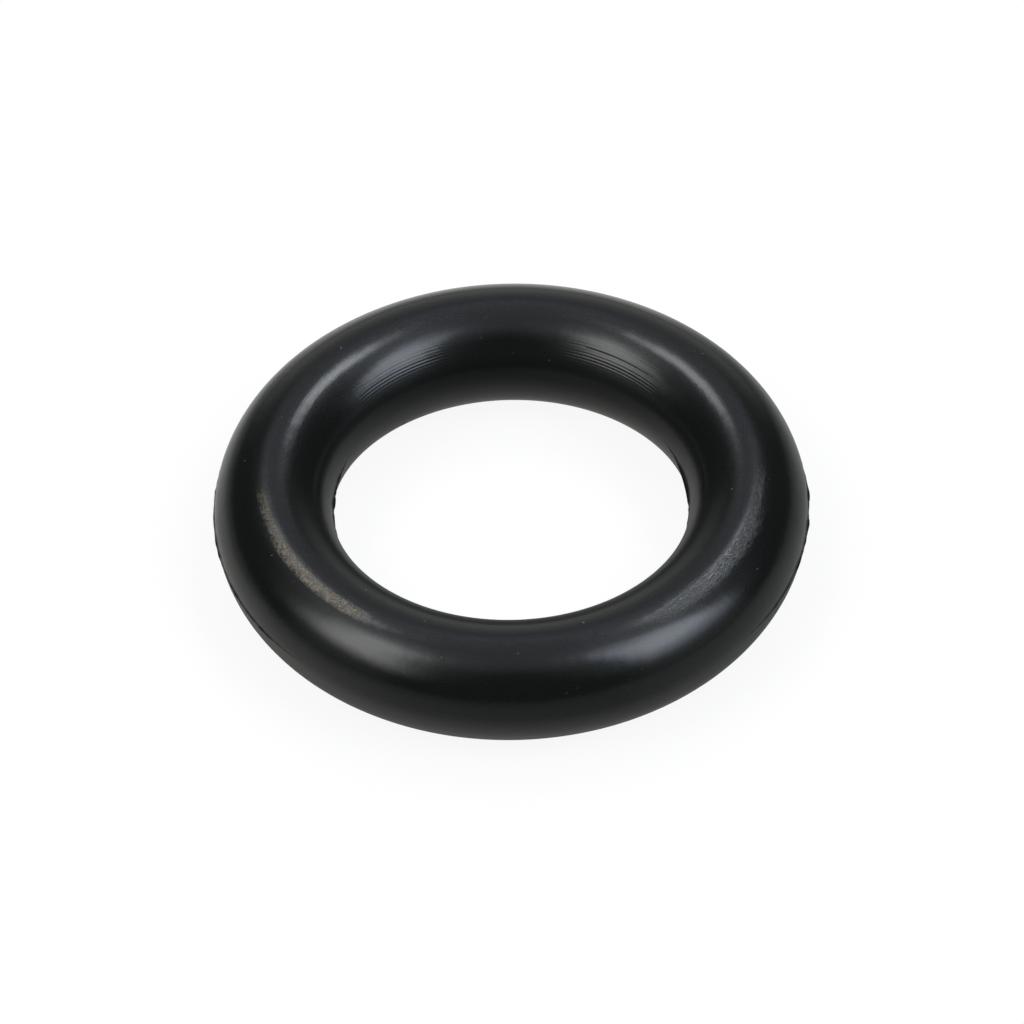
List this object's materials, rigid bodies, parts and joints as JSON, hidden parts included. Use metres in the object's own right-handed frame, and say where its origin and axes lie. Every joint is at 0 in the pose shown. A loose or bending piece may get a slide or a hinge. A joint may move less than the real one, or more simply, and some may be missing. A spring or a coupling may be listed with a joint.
{
  "type": "o-ring",
  "caption": "Black moulded rubber sealing ring with a round section and a thin mould flash line round its inside and outside.",
  "frame": {"origin": "centre of the ring, in the parting plane where the mould halves met", "axes": "+Z along the ring's axis; the ring lies flat in XY and rests on the lowest circle of its round section, at Z = -1.5 mm"},
  "size_m": [0.0151, 0.015, 0.003],
  "materials": {
    "rubber": "black moulded nitrile rubber, satin sheen, fine turned mould marks"
  },
  "bodies": {
    "root": {"o_ring": "rubber"}
  },
  "joints": []
}
